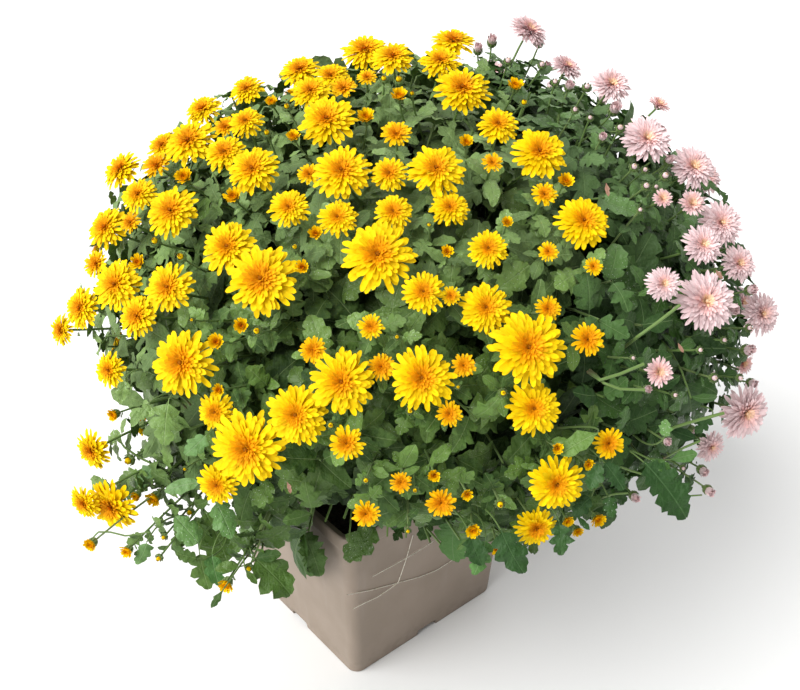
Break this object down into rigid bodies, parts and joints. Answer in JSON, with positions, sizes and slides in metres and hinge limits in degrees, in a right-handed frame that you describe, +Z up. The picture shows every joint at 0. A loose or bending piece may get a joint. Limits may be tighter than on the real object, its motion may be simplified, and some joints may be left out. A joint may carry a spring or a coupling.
{
  "type": "pot chrysanthemum",
  "caption": "Potted garden chrysanthemum: a wide dome of yellow daisy-like double flowers with a pink plant at one side, over lobed green leaves, in a square taupe planter.",
  "frame": {"origin": "centre of the planter's underside, on the surface that it stands on", "axes": "+Z up; the planter's sides lie along X and Y, the pink plant leans over the +X side and the side that the picture shows faces -X and -Y"},
  "size_m": [0.7846, 0.7067, 0.6709],
  "materials": {
    "planter_plastic": "moulded, satin",
    "compost": "damp, crumbly",
    "leaf_green": "soft, slightly greyish",
    "petal_yellow": "soft, matt",
    "petal_pink": "soft, matt"
  },
  "bodies": {
    "root": {"foliage_pink": "leaf_green", "foliage_yellow": "leaf_green", "planter": "planter_plastic", "soil": "compost", "spray_pink_01": "petal_pink", "spray_pink_02": "petal_pink", "spray_pink_03": "petal_pink", "spray_pink_04": "petal_pink", "spray_pink_05": "petal_pink", "spray_pink_06": "petal_pink", "spray_pink_07": "petal_pink", "spray_pink_08": "petal_pink", "spray_pink_09": "petal_pink", "spray_pink_10": "petal_pink", "spray_pink_11": "petal_pink", "spray_pink_12": "petal_pink", "spray_pink_13": "petal_pink", "spray_pink_14": "petal_pink", "spray_pink_15": "petal_pink", "spray_yellow_01": "petal_yellow", "spray_yellow_02": "petal_yellow", "spray_yellow_03": "petal_yellow", "spray_yellow_04": "petal_yellow", "spray_yellow_05": "petal_yellow", "spray_yellow_06": "petal_yellow", "spray_yellow_07": "petal_yellow", "spray_yellow_08": "petal_yellow", "spray_yellow_09": "petal_yellow", "spray_yellow_10": "petal_yellow", "spray_yellow_11": "petal_yellow", "spray_yellow_12": "petal_yellow", "spray_yellow_13": "petal_yellow", "spray_yellow_14": "petal_yellow", "spray_yellow_15": "petal_yellow", "spray_yellow_16": "petal_yellow", "spray_yellow_17": "petal_yellow", "spray_yellow_18": "petal_yellow", "spray_yellow_19": "petal_yellow", "spray_yellow_20": "petal_yellow", "spray_yellow_21": "petal_yellow", "spray_yellow_22": "petal_yellow", "spray_yellow_23": "petal_yellow", "spray_yellow_24": "petal_yellow", "spray_yellow_25": "petal_yellow", "spray_yellow_26": "petal_yellow", "spray_yellow_27": "petal_yellow", "spray_yellow_28": "petal_yellow", "spray_yellow_29": "petal_yellow", "spray_yellow_30": "petal_yellow", "spray_yellow_31": "petal_yellow"}
  },
  "joints": []
}
